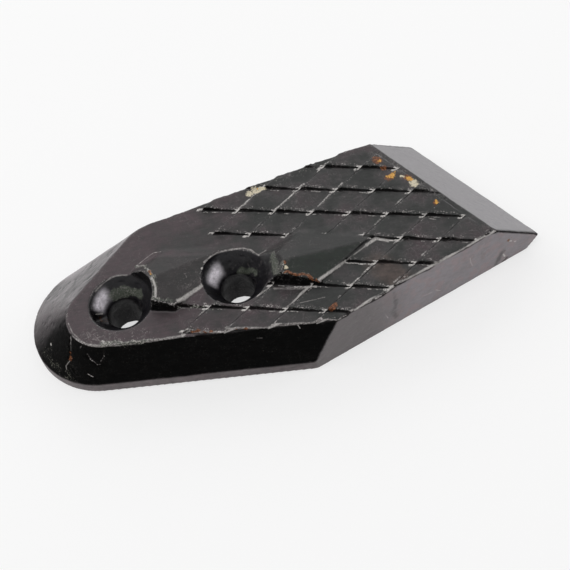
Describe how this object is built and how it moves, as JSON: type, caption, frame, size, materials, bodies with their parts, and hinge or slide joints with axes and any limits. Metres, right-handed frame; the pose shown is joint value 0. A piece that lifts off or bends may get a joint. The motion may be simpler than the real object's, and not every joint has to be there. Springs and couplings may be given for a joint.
{
  "type": "plough point",
  "caption": "Forged plough point with a chisel edge, a scale-patterned wearing face and countersunk bolt holes behind sheltering ramps.",
  "frame": {"origin": "rear bolt hole's axis at the flat back", "axes": "+X along the line of bolt holes towards the cutting edge, +Z square to the back and out of the scaled face, +Y towards the long edge on the left of +X"},
  "size_m": [0.2053, 0.0909, 0.0338],
  "materials": {
    "forged_steel": "worn gloss black paint on forged steel"
  },
  "bodies": {
    "root": {"plough_point": "forged_steel"}
  },
  "joints": []
}
